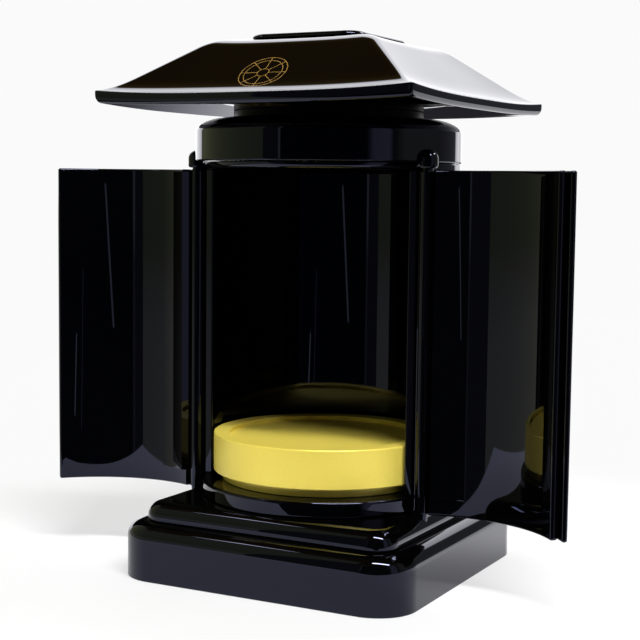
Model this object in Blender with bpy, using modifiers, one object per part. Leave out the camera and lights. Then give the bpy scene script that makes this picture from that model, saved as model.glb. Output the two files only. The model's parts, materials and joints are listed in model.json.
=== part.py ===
"""Small round household altar with two curved doors, a stepped square base and a curved square roof.

The cabinet is round in plan and centred on the Z axis. The front faces -Y, +X is the right-hand
side as the viewer sees it, and the origin is the middle of the base's underside. Angles around the
cabinet are in degrees, counted from the X axis of their own side towards the front.
"""

import math

import bmesh
import bpy
from mathutils import Vector

# What touching pieces and moving pieces keep between them
GAP = 0.0003
PIN_CLEARANCE = 0.0003
PIN_END_CLEARANCE = 0.0006
DOOR_CLEARANCE = 0.0006
STILE_CLEARANCE = 0.0008
BOSS_CLEARANCE = 0.0009
STAND_CLEARANCE = 0.0017

# Cabinet plan
CABINET_RADIUS = 0.0644
JAMB_WALL = 0.0042
JAMB_EDGE_ROUND = 0.0007
SHELL_WALL = 0.0038
SHELL_EDGE_ROUND = 0.0008
DOOR_WALL = 0.0038
DOOR_EDGE_ROUND = 0.0012
DOOR_RIM_ROUND = 0.0010
HINGE_STAND_OFF = 0.0006
HINGE_ANGLE = 18.5
JAMB_FRONT_ANGLE = 21.6
JAMB_REAR_ANGLE = 5.0
DOOR_END_ANGLE = 88.3
LEFT_OPENING = 128.5
RIGHT_OPENING = 129.4

# Pivots of the doors
PIN_RADIUS = 0.0029
PIN_LENGTH = 0.0054
BOSS_WALL = 0.0019
BOSS_DROP = 0.0030
BOSS_RISE = 0.0064
BOSS_FOOT_ROUND = 0.0014
BOSS_DOME = 0.0046

# Strip that covers the joint between the closed doors
STRIP_THICKNESS = 0.0028
STRIP_LAP = 0.0045
STRIP_SEAT = 0.0062
STRIP_EDGE_ROUND = 0.0011

# Base
PLINTH_LEDGE = 0.0100
PLINTH_CORNER = 0.0210
PLINTH_HEIGHT = 0.0284
PLINTH_ROUND = 0.0080
TIER_MARGIN = 0.0042
TIER_CORNER = 0.0120
TIER_RISE = 0.0096
TIER_ROUND = 0.0075

# Floor, cabin, ceiling and the gold stand inside
FLOOR_THICKNESS = 0.0079
FLOOR_TOP_ROUND = 0.0014
FLOOR_FOOT_ROUND = 0.0008
CABIN_HEIGHT = 0.1628
CEILING_THICKNESS = 0.0017
STAND_HEIGHT = 0.0242
STAND_RIM_WIDTH = 0.0085
STAND_RECESS = 0.0025
STAND_RIM_ROUND = 0.0007
STAND_FOOT_INSET = 0.0048
STAND_FOOT_HEIGHT = 0.0043

# Cap and neck
CAP_OVERHANG = 0.0002
CAP_SIDE = 0.0150
CAP_SHOULDER = 0.0075
CAP_FOOT_ROUND = 0.0008
NECK_RADIUS = 0.0490
NECK_LEDGE = 0.0005
NECK_HEIGHT = 0.0035

# Roof
ROOF_OVERHANG = 0.00575
EAVE_THICKNESS = 0.0053
EAVE_LIFT = 0.0024
UNDERSIDE_LIFT = 0.0015
EAVE_LEAN = 0.0023
EAVE_SQUARE = 0.0020
EAVE_CORNER = 0.0014
CREST_MARGIN = 0.0004
CREST_CORNER = 0.0070
ROOF_RISE = 0.0271
BROW_INSET = 0.03375
BROW_DROP = 0.0064
HOLLOW_INSET = 0.01775
HOLLOW_RISE = 0.0088
CREST_SLOPE = 0.10
EAVE_SLOPE = 0.10
SLAB_HALF = 0.0316
SLAB_CORNER = 0.0095
SLAB_THICKNESS = 0.0032
SLAB_ROUND = 0.0020

# How finely round forms are divided
TURNED_STEPS = 64
ARC_STEP = 360 / TURNED_STEPS
CORNER_STEPS = 7
ROUND_STEPS = 4
SMALL_STEPS = 2
SHOULDER_STEPS = 6
PIN_STEPS = 20
STILE_STEPS = 16
ROOF_SIDE_STEPS = 10
ROOF_CORNER_STEPS = 3
UNDERSIDE_STEPS = 2
SLOPE_STEPS = 5
FACE_STEPS = 2
MERGE = 0.00001
SHARP_ANGLE = 32

# Sizes that follow from the ones above
JAMB_INNER = CABINET_RADIUS - JAMB_WALL
STAND_RADIUS = JAMB_INNER - STAND_CLEARANCE
SHELL_INNER = CABINET_RADIUS + GAP
SHELL_OUTER = SHELL_INNER + SHELL_WALL
DOOR_INNER = CABINET_RADIUS + DOOR_CLEARANCE
DOOR_OUTER = DOOR_INNER + DOOR_WALL
HINGE_RADIUS = DOOR_OUTER + HINGE_STAND_OFF
STILE_RADIUS = HINGE_RADIUS - DOOR_INNER
HINGE_X = HINGE_RADIUS * math.cos(math.radians(HINGE_ANGLE))
HINGE_Y = -HINGE_RADIUS * math.sin(math.radians(HINGE_ANGLE))
STILE_SWEEP = math.degrees(math.asin((STILE_RADIUS + STILE_CLEARANCE) / HINGE_RADIUS))
SHELL_FRONT_ANGLE = HINGE_ANGLE - STILE_SWEEP
CAP_RADIUS = SHELL_OUTER + CAP_OVERHANG
HOLE_RADIUS = PIN_RADIUS + PIN_CLEARANCE
BOSS_RADIUS = HOLE_RADIUS + BOSS_WALL
TIER_HALF = HINGE_X + TIER_MARGIN
PLINTH_HALF = TIER_HALF + PLINTH_LEDGE
ROOF_HALF = PLINTH_HALF + ROOF_OVERHANG
HOLLOW_HALF = ROOF_HALF - HOLLOW_INSET
BROW_HALF = ROOF_HALF - BROW_INSET
CREST_HALF = SLAB_HALF + CREST_MARGIN
STRIP_INNER = DOOR_OUTER + GAP

TIER_TOP = PLINTH_HEIGHT + TIER_RISE
FLOOR_BOTTOM = TIER_TOP + GAP
FLOOR_TOP = FLOOR_BOTTOM + FLOOR_THICKNESS
CEILING_BOTTOM = FLOOR_TOP + CABIN_HEIGHT
CEILING_TOP = CEILING_BOTTOM + CEILING_THICKNESS
CAP_BOTTOM = CEILING_TOP + GAP
CAP_SHOULDER_FOOT = CAP_BOTTOM + CAP_SIDE
CAP_TOP = CAP_SHOULDER_FOOT + CAP_SHOULDER
BOSS_BOTTOM = CAP_BOTTOM - BOSS_DROP
BOSS_TOP = CAP_BOTTOM + BOSS_RISE
DOOR_BOTTOM = TIER_TOP + GAP
DOOR_TOP = BOSS_BOTTOM - BOSS_CLEARANCE
UNDERSIDE = CAP_TOP + NECK_HEIGHT
EAVE_TOP = UNDERSIDE + EAVE_THICKNESS
CORNER_TOP = EAVE_TOP + EAVE_LIFT
HOLLOW_TOP = CORNER_TOP + HOLLOW_RISE
CREST_TOP = CORNER_TOP + ROOF_RISE
BROW_TOP = CREST_TOP - BROW_DROP
FACE_SLOPE = (BROW_TOP - HOLLOW_TOP) / (HOLLOW_HALF - BROW_HALF)


def clear_scene():
    for thing in list(bpy.data.objects):
        bpy.data.objects.remove(thing)


def make_collection(name):
    collection = bpy.data.collections.new(name)
    bpy.context.scene.collection.children.link(collection)


def make_material(name, colour, roughness, metallic=0.0):
    material = bpy.data.materials.new(name)
    material.use_nodes = True
    shader = material.node_tree.nodes["Principled BSDF"]
    shader.inputs["Base Color"].default_value = (*colour, 1.0)
    shader.inputs["Roughness"].default_value = roughness
    shader.inputs["Metallic"].default_value = metallic
    return material


def lacquer(name):
    return make_material(name + "_lacquer", (0.012, 0.012, 0.013), 0.06)


def gold_paint(name):
    return make_material(name + "_gold", (0.78, 0.62, 0.20), 0.38, 0.35)


def place(name, mesh, material):
    """Put a mesh in the altar's collection as the node of that name, smooth between its edges."""
    mesh.name = name
    mesh.materials.append(material)
    mesh.shade_smooth()
    mesh.set_sharp_from_angle(angle=math.radians(SHARP_ANGLE))
    piece = bpy.data.objects.new(name, mesh)
    bpy.data.collections["buddhist_home_altar"].objects.link(piece)
    return piece


def place_cutter(name, mesh):
    cutter = bpy.data.objects.new(name, mesh)
    bpy.data.collections["cutters"].objects.link(cutter)
    cutter.hide_render = True
    cutter.display_type = "WIRE"
    return cutter


def combine(piece, other, operation):
    boolean = piece.modifiers.new(other.name, "BOOLEAN")
    boolean.object = other
    boolean.operation = operation
    boolean.solver = "EXACT"


def polar(radius, angle):
    """Point in plan at an angle from +X towards the front."""
    turn = math.radians(angle)
    return Vector((radius * math.cos(turn), -radius * math.sin(turn)))


def arc(centre, radius, start, end, steps):
    """Points of a circle in plan between two bearings in degrees, against the clock from +X."""
    points = []
    for index in range(steps + 1):
        turn = math.radians(start + (end - start) * index / steps)
        points.append(Vector((centre[0] + radius * math.cos(turn), centre[1] + radius * math.sin(turn))))
    return points


def steps_for(sweep):
    return max(2, round(abs(sweep) / ARC_STEP))


def round_rim(work, height, width, steps):
    """Round the edges of the flat cap at that height."""
    edges = []
    for edge in work.edges:
        level = all(abs(vertex.co.z - height) < MERGE for vertex in edge.verts)
        upright = any(abs(face.normal.z) < 0.5 for face in edge.link_faces)
        if level and upright:
            edges.append(edge)
    bmesh.ops.bevel(work, geom=edges, offset=width, segments=steps, profile=0.5, affect="EDGES")


def rounded_block(half, corner, bottom, top, rim):
    """Square block with upright corners of one radius and a quarter-round along its upper edge."""
    work = bmesh.new()
    bmesh.ops.create_cube(work, size=1.0)
    bmesh.ops.scale(work, vec=(2 * half, 2 * half, top - bottom), verts=work.verts)
    bmesh.ops.translate(work, vec=(0, 0, 0.5 * (top + bottom)), verts=work.verts)
    upright = [edge for edge in work.edges if abs(edge.verts[0].co.z - edge.verts[1].co.z) > MERGE]
    bmesh.ops.bevel(work, geom=upright, offset=corner, segments=CORNER_STEPS, profile=0.5, affect="EDGES")
    work.normal_update()
    round_rim(work, top, rim, ROUND_STEPS)
    mesh = bpy.data.meshes.new("block")
    work.to_mesh(mesh)
    work.free()
    return mesh


def cylinder(radius, bottom, top, steps):
    work = bmesh.new()
    bmesh.ops.create_cone(
        work,
        cap_ends=True,
        segments=steps,
        radius1=radius,
        radius2=radius,
        depth=top - bottom,
    )
    bmesh.ops.translate(work, vec=(0, 0, 0.5 * (top + bottom)), verts=work.verts)
    mesh = bpy.data.meshes.new("cylinder")
    work.to_mesh(mesh)
    work.free()
    return mesh


def quarter(radius, height, run, rise, start, end, steps=SMALL_STEPS):
    """Part of an ellipse in a turned profile, about a centre; 0 points outward and 90 upward."""
    points = []
    for index in range(steps + 1):
        turn = math.radians(start + (end - start) * index / steps)
        points.append((radius + run * math.cos(turn), height + rise * math.sin(turn)))
    return points


def turned(name, profile, material, steps=TURNED_STEPS):
    """Turn a profile, listed from its top on the axis down its outer side, about the Z axis."""
    mesh = bpy.data.meshes.new(name)
    vertices = [(radius, 0.0, height) for radius, height in profile]
    edges = [(index, index + 1) for index in range(len(profile) - 1)]
    mesh.from_pydata(vertices, edges, [])
    piece = place(name, mesh, material)
    screw = piece.modifiers.new("turning", "SCREW")
    screw.steps = steps
    screw.render_steps = steps
    screw.use_merge_vertices = True
    screw.merge_threshold = MERGE
    return piece


def extruded(outline, bottom, top, rim):
    """Solid of a flat outline between two heights, with its upper and lower edges rounded."""
    curve = bpy.data.curves.new("outline", "CURVE")
    curve.dimensions = "2D"
    curve.fill_mode = "BOTH"
    curve.extrude = 0.5 * (top - bottom)
    spline = curve.splines.new("POLY")
    spline.points.add(len(outline) - 1)
    for point, spot in zip(spline.points, outline):
        point.co = (spot.x, spot.y, 0.0, 1.0)
    spline.use_cyclic_u = True
    guide = bpy.data.objects.new("outline", curve)
    bpy.context.scene.collection.objects.link(guide)
    graph = bpy.context.evaluated_depsgraph_get()
    mesh = bpy.data.meshes.new_from_object(guide.evaluated_get(graph))
    bpy.data.objects.remove(guide)
    work = bmesh.new()
    work.from_mesh(mesh)
    bmesh.ops.translate(work, vec=(0, 0, 0.5 * (top + bottom)), verts=work.verts)
    bmesh.ops.remove_doubles(work, verts=work.verts, dist=MERGE)
    bmesh.ops.dissolve_limit(work, angle_limit=math.radians(0.5), verts=work.verts, edges=work.edges)
    bmesh.ops.recalc_face_normals(work, faces=work.faces)
    if rim > 0:
        round_rim(work, bottom, rim, SMALL_STEPS)
        round_rim(work, top, rim, SMALL_STEPS)
    work.to_mesh(mesh)
    work.free()
    return mesh


def rounded_end(inner, outer, angle, rounding, first):
    """End face of a curved wall, from the wall's one side to the other, with both corners rounded.

    The far end, towards the front, runs from the inner side to the outer one when first is 180;
    the near end, towards the back, runs from the outer side to the inner one when first is 0.
    """
    sides = (outer - rounding, inner + rounding) if first == 0 else (inner + rounding, outer - rounding)
    points = []
    for index, radius in enumerate(sides):
        start = first + 90 * index - angle
        points += arc(polar(radius, angle), rounding, start, start + 90, SMALL_STEPS)
    return points


def wall_outline(inner, outer, low, high, rounding):
    """Plan of a curved wall between two angles, against the clock."""
    low += math.degrees(rounding / inner)
    high -= math.degrees(rounding / inner)
    steps = steps_for(high - low)
    points = arc((0, 0), outer, -high, -low, steps)[1:-1]
    points += rounded_end(inner, outer, low, rounding, 0)
    points += arc((0, 0), inner, -low, -high, steps)[1:-1]
    points += rounded_end(inner, outer, high, rounding, 180)
    return points


def leaf_outline():
    """Plan of the closed right leaf with its round stile, against the clock, about the cabinet."""
    end = DOOR_END_ANGLE - math.degrees(DOOR_EDGE_ROUND / DOOR_INNER)
    inward = 180 - HINGE_ANGLE
    reach = HINGE_RADIUS ** 2 + STILE_RADIUS ** 2 - DOOR_OUTER ** 2
    meeting = inward + math.degrees(math.acos(reach / (2 * HINGE_RADIUS * STILE_RADIUS)))
    stile = arc((HINGE_X, HINGE_Y), STILE_RADIUS, meeting, inward + 360, STILE_STEPS)
    meeting_angle = math.degrees(math.atan2(-stile[0].y, stile[0].x))
    points = arc((0, 0), DOOR_OUTER, -end, -meeting_angle, steps_for(end - meeting_angle))[1:-1]
    points += stile
    points += arc((0, 0), DOOR_INNER, -HINGE_ANGLE, -end, steps_for(end - HINGE_ANGLE))[1:-1]
    points += rounded_end(DOOR_INNER, DOOR_OUTER, end, DOOR_EDGE_ROUND, 180)
    return points


def mirrored(outline):
    return [Vector((-point.x, point.y)) for point in reversed(outline)]


def about_hinge(outline):
    """The same outline with the right hinge's axis at its origin."""
    return [point - Vector((HINGE_X, HINGE_Y)) for point in outline]


def make_pin_holes():
    """Cutters for the blind holes that the doors' pins turn in, by level."""
    lower_end = DOOR_BOTTOM - PIN_LENGTH - PIN_END_CLEARANCE
    upper_end = DOOR_TOP + PIN_LENGTH + PIN_END_CLEARANCE
    lower = cylinder(HOLE_RADIUS, lower_end, TIER_TOP + HOLE_RADIUS, PIN_STEPS)
    upper = cylinder(HOLE_RADIUS, DOOR_TOP, upper_end, PIN_STEPS)
    holes = {"lower": [], "upper": []}
    for side, label in ((-1, "left"), (1, "right")):
        for level, mesh in (("lower", lower), ("upper", upper)):
            cutter = place_cutter(f"{label}_{level}_hole", mesh)
            cutter.location = (side * HINGE_X, HINGE_Y, 0)
            holes[level].append(cutter)
    return holes


def build_base(holes):
    plinth = rounded_block(PLINTH_HALF, PLINTH_CORNER, 0, PLINTH_HEIGHT, PLINTH_ROUND)
    place("base_plinth", plinth, lacquer("base_plinth"))
    step = rounded_block(TIER_HALF, TIER_CORNER, PLINTH_HEIGHT + GAP, TIER_TOP, TIER_ROUND)
    tier = place("base_upper_tier", step, lacquer("base_upper_tier"))
    for cutter in holes:
        combine(tier, cutter, "DIFFERENCE")


def build_floor_plate():
    top, foot = FLOOR_TOP_ROUND, FLOOR_FOOT_ROUND
    profile = [(0, FLOOR_TOP)]
    profile += quarter(CABINET_RADIUS - top, FLOOR_TOP - top, top, top, 90, 0)
    profile += quarter(CABINET_RADIUS - foot, FLOOR_BOTTOM + foot, foot, foot, 0, -90)
    profile += [(0, FLOOR_BOTTOM)]
    turned("floor_plate", profile, lacquer("floor_plate"))


def build_rear_shell():
    """The back wall is one upright line swept round the back and thickened inward."""
    sweep = 180 + 2 * SHELL_FRONT_ANGLE
    foot = polar(SHELL_OUTER, SHELL_FRONT_ANGLE)
    mesh = bpy.data.meshes.new("rear_shell")
    mesh.from_pydata([(foot.x, foot.y, CEILING_TOP), (foot.x, foot.y, FLOOR_BOTTOM)], [(0, 1)], [])
    shell = place("rear_shell", mesh, lacquer("rear_shell"))
    screw = shell.modifiers.new("sweep", "SCREW")
    screw.angle = math.radians(sweep)
    screw.steps = steps_for(sweep)
    screw.render_steps = screw.steps
    screw.merge_threshold = MERGE
    wall = shell.modifiers.new("wall", "SOLIDIFY")
    wall.thickness = SHELL_WALL
    wall.offset = -1
    wall.use_even_offset = True
    edge = shell.modifiers.new("edge", "BEVEL")
    edge.width = SHELL_EDGE_ROUND
    edge.segments = SMALL_STEPS
    edge.limit_method = "ANGLE"
    edge.angle_limit = math.radians(60)


def build_jambs():
    outline = wall_outline(JAMB_INNER, CABINET_RADIUS, JAMB_REAR_ANGLE, JAMB_FRONT_ANGLE, JAMB_EDGE_ROUND)
    for name, plan in (("right_jamb", outline), ("left_jamb", mirrored(outline))):
        mesh = extruded(plan, FLOOR_TOP + GAP, CEILING_BOTTOM - GAP, 0)
        place(name, mesh, lacquer(name))


def build_gold_stand():
    bottom = FLOOR_TOP + GAP
    top = bottom + STAND_HEIGHT
    side_foot = bottom + STAND_FOOT_HEIGHT
    recess_radius = STAND_RADIUS - STAND_RIM_WIDTH
    foot_radius = STAND_RADIUS - STAND_FOOT_INSET
    rim = STAND_RIM_ROUND
    profile = [(0, top - STAND_RECESS), (recess_radius, top - STAND_RECESS)]
    profile += quarter(recess_radius + rim, top - rim, rim, rim, 180, 90)
    profile += quarter(STAND_RADIUS - rim, top - rim, rim, rim, 90, 0)
    profile += quarter(STAND_RADIUS - rim, side_foot + rim, rim, rim, 0, -90)
    profile += [(foot_radius, side_foot), (foot_radius, bottom), (0, bottom)]
    turned("gold_stand", profile, gold_paint("gold_stand"))


def disc_profile(radius, bottom, top):
    return [(0, top), (radius, top), (radius, bottom), (0, bottom)]


def build_ceiling_plate():
    profile = disc_profile(CABINET_RADIUS, CEILING_BOTTOM, CEILING_TOP)
    turned("ceiling_plate", profile, lacquer("ceiling_plate"))


def build_cap(holes):
    ledge = NECK_RADIUS + NECK_LEDGE
    foot = CAP_FOOT_ROUND
    profile = [(0, CAP_TOP)]
    profile += quarter(ledge, CAP_SHOULDER_FOOT, CAP_RADIUS - ledge, CAP_SHOULDER, 90, 0, SHOULDER_STEPS)
    profile += quarter(CAP_RADIUS - foot, CAP_BOTTOM + foot, foot, foot, 0, -90)
    profile += [(0, CAP_BOTTOM)]
    cap = turned("cap_drum", profile, lacquer("cap_drum"))
    for cutter in holes:
        combine(cap, cutter, "DIFFERENCE")


def build_neck():
    profile = disc_profile(NECK_RADIUS, CAP_TOP + GAP, UNDERSIDE - GAP)
    turned("neck", profile, lacquer("neck"))


def build_hinge_bosses(holes):
    """Each boss is a domed peg about the hinge axis, cut back to the cap's side."""
    beyond = BOSS_RADIUS
    side = cylinder(CAP_RADIUS + GAP, BOSS_BOTTOM - beyond, BOSS_TOP + beyond, TURNED_STEPS)
    cap_side = place_cutter("cap_side", side)
    foot = BOSS_FOOT_ROUND
    profile = [(0, BOSS_TOP)]
    profile += quarter(0, BOSS_TOP - BOSS_DOME, BOSS_RADIUS, BOSS_DOME, 90, 0, ROUND_STEPS)[1:]
    profile += quarter(BOSS_RADIUS - foot, BOSS_BOTTOM + foot, foot, foot, 0, -90)
    profile += [(0, BOSS_BOTTOM)]
    for label, cutter in zip(("left", "right"), holes):
        name = label + "_hinge_boss"
        boss = turned(name, profile, lacquer(name), PIN_STEPS)
        boss.location = cutter.location
        combine(boss, cap_side, "DIFFERENCE")
        combine(boss, cutter, "DIFFERENCE")


def hinge_empty(name, x, opening):
    """Empty on a door's axis, turned from closed to the opening at rest."""
    empty = bpy.data.objects.new(name, None)
    bpy.context.scene.collection.objects.link(empty)
    empty.location = (x, HINGE_Y, 0)
    empty.rotation_euler = (0, 0, math.radians(opening))
    return empty


def build_doors():
    """The leaves are drawn closed, each about its own axis, and opened by the empty they hang on."""
    right_plan = about_hinge(leaf_outline())
    pin = cylinder(PIN_RADIUS, DOOR_BOTTOM - PIN_LENGTH, DOOR_TOP + PIN_LENGTH, PIN_STEPS)
    right = hinge_empty("right_hinge", HINGE_X, RIGHT_OPENING)
    left = hinge_empty("left_hinge", -HINGE_X, -LEFT_OPENING)
    for name, plan, hinge in (("door_right", right_plan, right), ("door_left", mirrored(right_plan), left)):
        leaf = place(name, extruded(plan, DOOR_BOTTOM, DOOR_TOP, DOOR_RIM_ROUND), lacquer(name))
        leaf.parent = hinge
        rod = place_cutter(name + "_pins", pin)
        rod.parent = hinge
        combine(leaf, rod, "UNION")
    low = DOOR_END_ANGLE - math.degrees(STRIP_SEAT / STRIP_INNER)
    high = DOOR_END_ANGLE + math.degrees(STRIP_LAP / STRIP_INNER)
    outline = wall_outline(STRIP_INNER, STRIP_INNER + STRIP_THICKNESS, low, high, STRIP_EDGE_ROUND)
    mesh = extruded(about_hinge(outline), DOOR_BOTTOM, DOOR_TOP, DOOR_RIM_ROUND)
    strip = place("meeting_strip", mesh, lacquer("meeting_strip"))
    strip.parent = right


def blend(share, start, end, start_slope, end_slope, length):
    """Height on a curve that leaves and arrives with the given slopes."""
    square = share * share
    cube = square * share
    height = (2 * cube - 3 * square + 1) * start + (3 * square - 2 * cube) * end
    return height + length * ((cube - 2 * square + share) * start_slope + (cube - square) * end_slope)


def hip_stations():
    """Half widths and heights down the hip, from the eave's upper edge to the crest."""
    stretches = (
        (ROOF_HALF, CORNER_TOP, EAVE_SLOPE, HOLLOW_HALF, HOLLOW_TOP, FACE_SLOPE, SLOPE_STEPS),
        (HOLLOW_HALF, HOLLOW_TOP, FACE_SLOPE, BROW_HALF, BROW_TOP, FACE_SLOPE, FACE_STEPS),
        (BROW_HALF, BROW_TOP, FACE_SLOPE, CREST_HALF, CREST_TOP, CREST_SLOPE, SLOPE_STEPS),
    )
    stations = [(ROOF_HALF, CORNER_TOP)]
    for start, low, start_slope, end, high, end_slope, steps in stretches:
        for index in range(1, steps + 1):
            share = index / steps
            height = blend(share, low, high, start_slope, end_slope, start - end)
            stations.append((start + (end - start) * share, height))
    return stations


def roof_ring(half, corner, height):
    """Square ring with rounded corners; height gives z from the place along a side, 1 at a corner."""
    ring = []
    run = half - corner
    for quarter_turn in range(4):
        side = [(half, run * (2 * index / ROOF_SIDE_STEPS - 1)) for index in range(ROOF_SIDE_STEPS)]
        bend = arc((run, run), corner, 0, 90, ROOF_CORNER_STEPS)[:-1]
        cosine, sine = ((1, 0), (0, 1), (-1, 0), (0, -1))[quarter_turn]
        for x, y in side + [(point.x, point.y) for point in bend]:
            along = min(abs(x), abs(y)) / half
            ring.append((x * cosine - y * sine, x * sine + y * cosine, height(along)))
    return ring


def roof_rings():
    """Rings from the middle of the underside out, up the eave and in over the slopes to the crest."""
    rings = []
    foot_half = ROOF_HALF - EAVE_LEAN
    for index in range(UNDERSIDE_STEPS + 1):
        share = index / UNDERSIDE_STEPS
        lift = UNDERSIDE_LIFT * share ** 2
        half = NECK_RADIUS + (foot_half - NECK_RADIUS) * share
        rings.append(roof_ring(half, EAVE_CORNER, lambda along: UNDERSIDE + lift * along ** 3))
    for index in range(1, ROUND_STEPS):
        turn = math.radians(90 * index / (ROUND_STEPS - 1))

        def belly(along):
            low = UNDERSIDE + UNDERSIDE_LIFT * along ** 3
            square_foot = EAVE_TOP + EAVE_LIFT * along ** 3 - EAVE_SQUARE
            return square_foot + (low - square_foot) * math.cos(turn)

        rings.append(roof_ring(foot_half + EAVE_LEAN * math.sin(turn), EAVE_CORNER, belly))
    for half, hip in hip_stations():
        sag = EAVE_LIFT * max(0, (half - BROW_HALF) / BROW_INSET) ** 2
        inward = (ROOF_HALF - half) / (ROOF_HALF - CREST_HALF)
        corner = EAVE_CORNER + (CREST_CORNER - EAVE_CORNER) * inward
        rings.append(roof_ring(half, corner, lambda along: hip - sag * (1 - along ** 3)))
    return rings


def build_roof():
    """The roof is a loft, because its square rings change height along every side."""
    work = bmesh.new()
    rings = [[work.verts.new(point) for point in ring] for ring in roof_rings()]
    for lower, upper in zip(rings, rings[1:]):
        for index in range(len(lower)):
            after = (index + 1) % len(lower)
            work.faces.new((lower[index], lower[after], upper[after], upper[index]))
    work.faces.new(list(reversed(rings[0])))
    work.faces.new(rings[-1])
    mesh = bpy.data.meshes.new("roof")
    work.to_mesh(mesh)
    work.free()
    place("roof", mesh, lacquer("roof"))
    bottom = CREST_TOP + GAP
    slab = rounded_block(SLAB_HALF, SLAB_CORNER, bottom, bottom + SLAB_THICKNESS, SLAB_ROUND)
    place("roof_top_slab", slab, lacquer("roof_top_slab"))


def main():
    clear_scene()
    make_collection("buddhist_home_altar")
    make_collection("cutters")
    holes = make_pin_holes()
    build_base(holes["lower"])
    build_floor_plate()
    build_rear_shell()
    build_jambs()
    build_gold_stand()
    build_ceiling_plate()
    build_cap(holes["upper"])
    build_neck()
    build_hinge_bosses(holes["upper"])
    build_doors()
    build_roof()


main()
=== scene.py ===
"""Small round household altar in polished black lacquer, with both doors open and a gold stand inside.

All pieces are drawn in metres where they stand when the doors are open as in the photo. The front
faces -Y and the origin is the middle of the base's underside. Angles around the cabinet are in
degrees, counted from the X axis of their own side towards the front.
"""

import json
import math

import bmesh
import bpy
from mathutils import Matrix, Vector


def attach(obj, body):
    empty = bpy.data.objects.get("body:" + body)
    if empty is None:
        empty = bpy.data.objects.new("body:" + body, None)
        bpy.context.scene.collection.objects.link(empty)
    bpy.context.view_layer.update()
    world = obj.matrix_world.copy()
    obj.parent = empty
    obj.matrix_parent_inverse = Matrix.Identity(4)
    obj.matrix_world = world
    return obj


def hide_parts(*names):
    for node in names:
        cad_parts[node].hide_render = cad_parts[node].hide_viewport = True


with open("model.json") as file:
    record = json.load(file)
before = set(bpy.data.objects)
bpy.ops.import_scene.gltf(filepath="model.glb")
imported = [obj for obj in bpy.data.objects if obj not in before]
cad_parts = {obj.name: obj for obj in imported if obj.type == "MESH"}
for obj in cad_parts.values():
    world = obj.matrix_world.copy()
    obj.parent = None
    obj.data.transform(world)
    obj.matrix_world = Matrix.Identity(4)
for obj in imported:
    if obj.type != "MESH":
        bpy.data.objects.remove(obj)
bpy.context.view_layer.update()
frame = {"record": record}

# What pieces keep between them
GAP = 0.0003
DOOR_CLEARANCE = 0.0006
STILE_CLEARANCE = 0.0008
FLOOR_CLEARANCE = 0.0008
BOSS_CLEARANCE = 0.0009
STAND_CLEARANCE = 0.0017

# Cabinet plan
CABINET_RADIUS = 0.0644
JAMB_WALL = 0.0042
JAMB_EDGE_ROUND = 0.0007
JAMB_RIM_ROUND = 0.000125
SHELL_WALL = 0.0038
SHELL_EDGE_ROUND = 0.0008
DOOR_WALL = 0.0038
DOOR_EDGE_ROUND = 0.0013
DOOR_RIM_ROUND = 0.0010
HINGE_STAND_OFF = 0.0006
ROD_RADIUS = 0.0036
ROD_RIM_ROUND = 0.0005
HINGE_EDGE = 0.0013
HINGE_EDGE_EXTRA = 0.0026
HINGE_FOOT_EXTRA = 0.0003
EXTRA_END_ANGLE = 36.0
EXTRA_POWER = 1.3
EXTRA_STEPS = 20
HINGE_ANGLE = 18.5
JAMB_FRONT = 0.0225
JAMB_REAR_ANGLE = 5.0
DOOR_END_ANGLE = 88.3
LEFT_OPENING = 128.5
RIGHT_OPENING = 129.4

# Pivots of the doors
PIN_RADIUS = 0.0029
PIN_CLEARANCE = 0.0003
PIN_END_CLEARANCE = 0.0006
PIN_LENGTH = 0.0054
BOSS_WALL = 0.0019
BOSS_DROP = 0.0030
BOSS_RISE = 0.0064
BOSS_FOOT_ROUND = 0.0014
BOSS_DOME = 0.0046

# Strip that covers the joint between the closed doors
STRIP_THICKNESS = 0.0028
STRIP_LAP = 0.0045
STRIP_SEAT = 0.0062
STRIP_EDGE_ROUND = 0.0011

# Base
PLINTH_HALF = 0.080014
PLINTH_CORNER = 0.0210
PLINTH_HEIGHT = 0.0284
PLINTH_ROUND = 0.0080
TIER_HALF = 0.070014
TIER_CORNER = 0.0120
TIER_TOP = 0.0380
TIER_ROUND = 0.0075
ARRIS = 0.0005

# Floor, cabin, ceiling and the gold stand
FLOOR_THICKNESS = 0.0079
FLOOR_TOP_ROUND = 0.0014
FLOOR_FOOT_ROUND = 0.0008
CABIN_HEIGHT = 0.1628
CEILING_THICKNESS = 0.0017
CEILING_RIM_DROP = 0.0018
CEILING_RIM_ROUND = 0.0033
STAND_HEIGHT = 0.0242
STAND_RIM_WIDTH = 0.0085
STAND_RECESS = 0.0025
STAND_RIM_ROUND = 0.0007
STAND_FOOT_INSET = 0.0048
STAND_FOOT_HEIGHT = 0.0043

# Cap and neck
CAP_SIDE = 0.0150
CAP_SHOULDER = 0.0075
CAP_OVERHANG = 0.0002
CAP_FOOT_ROUND = 0.0008
NECK_RADIUS = 0.0490
NECK_LEDGE = 0.0005
NECK_HEIGHT = 0.0035

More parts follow.
